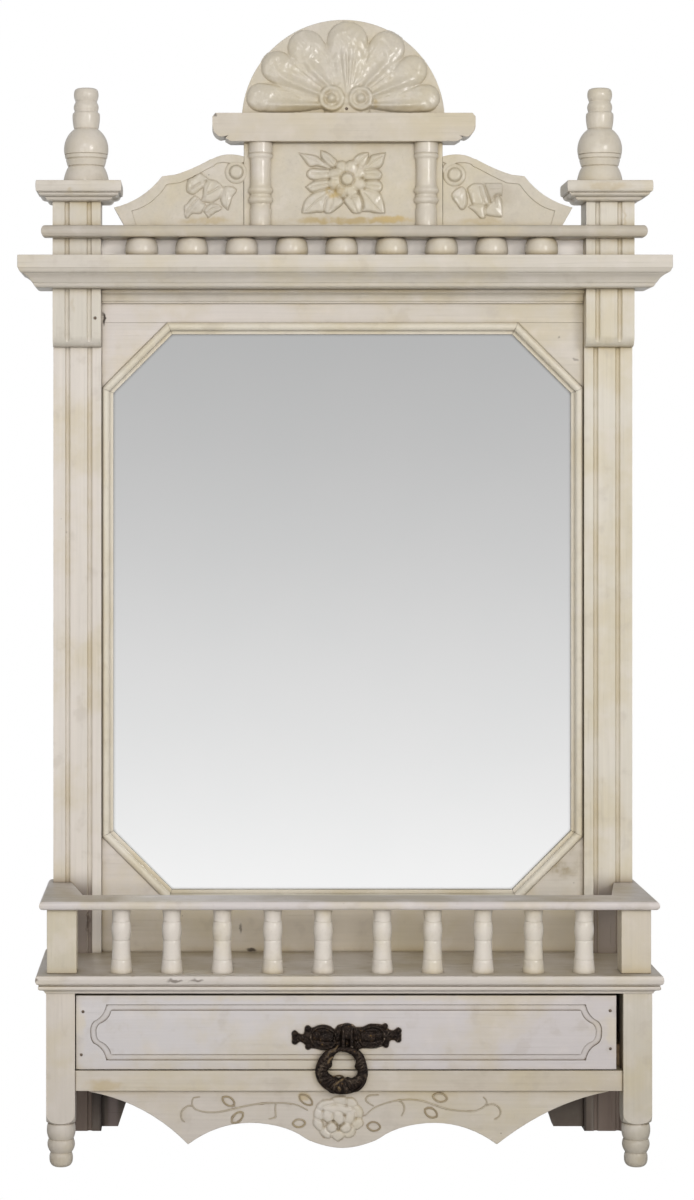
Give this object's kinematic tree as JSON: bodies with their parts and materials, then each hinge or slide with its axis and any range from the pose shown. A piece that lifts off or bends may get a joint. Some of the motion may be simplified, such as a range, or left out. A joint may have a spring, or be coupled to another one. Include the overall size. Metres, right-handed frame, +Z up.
{
  "type": "wall mirror with shelf and drawer",
  "caption": "Cream painted baroque wall mirror with carved shell pediment, turned finials, a balustered shelf and a small drawer with a cast ring pull.",
  "frame": {"origin": "midway between the two hanging holes, on the wall plane", "axes": "+X to the viewer's right, +Y into the wall, +Z up"},
  "size_m": [0.645, 0.166, 1.1176],
  "materials": {
    "cream_paint": "satin",
    "pale_paint": "satin",
    "bare_wood": "matte",
    "mirror": "mirror",
    "iron": "satin"
  },
  "bodies": {
    "frame": {"pilaster_left": "cream_paint", "pilaster_right": "cream_paint", "frieze_board": "pale_paint", "lower_board": "pale_paint", "corner_boards": "pale_paint", "glass_beads": "cream_paint", "mirror_glass": "mirror", "backing_board": "bare_wood", "backing_sprigs": "iron", "upper_block_left": "cream_paint", "upper_block_right": "cream_paint", "bed_moulding": "cream_paint", "cornice_front": "cream_paint", "cornice_return_left": "cream_paint", "cornice_return_right": "cream_paint", "attic_beads": "cream_paint", "attic_rail": "cream_paint", "cap_left": "cream_paint", "cap_right": "cream_paint", "finial_left": "cream_paint", "finial_right": "cream_paint", "crest_block": "cream_paint", "crest_columns": "cream_paint", "crest_flower": "cream_paint", "crest_battens": "bare_wood", "wing_left": "cream_paint", "wing_right": "cream_paint", "wing_leaves_left": "cream_paint", "wing_leaves_right": "cream_paint", "top_board": "cream_paint", "shell_board": "cream_paint", "shell_carving": "cream_paint", "leg_left": "cream_paint", "leg_right": "cream_paint", "side_panel_left": "cream_paint", "side_panel_right": "cream_paint", "runner_left": "bare_wood", "runner_right": "bare_wood", "guide_left": "bare_wood", "guide_right": "bare_wood", "front_rail": "cream_paint", "apron": "cream_paint", "apron_rosette": "cream_paint", "shelf": "cream_paint", "post_left": "cream_paint", "post_right": "cream_paint", "balusters": "cream_paint", "gallery_front_rail": "cream_paint", "gallery_side_rail_left": "cream_paint", "gallery_side_rail_right": "cream_paint"},
    "drawer": {"drawer_front": "pale_paint", "drawer_side_left": "bare_wood", "drawer_side_right": "bare_wood", "drawer_back": "bare_wood", "drawer_base": "bare_wood", "pull_plate": "iron", "pull_screws": "iron"},
    "pull": {"pull_ring": "iron"}
  },
  "joints": [
    {"name": "drawer_slide", "type": "slide", "parent": "frame", "child": "drawer", "axis": [0, -1, 0], "range_m": [0, 0.09]},
    {"name": "pull_swing", "type": "hinge", "parent": "drawer", "child": "pull", "pos_m": [-0.0064, -0.1585, -0.7364], "axis": [-1, 0, 0], "range_deg": [0, 90]}
  ]
}
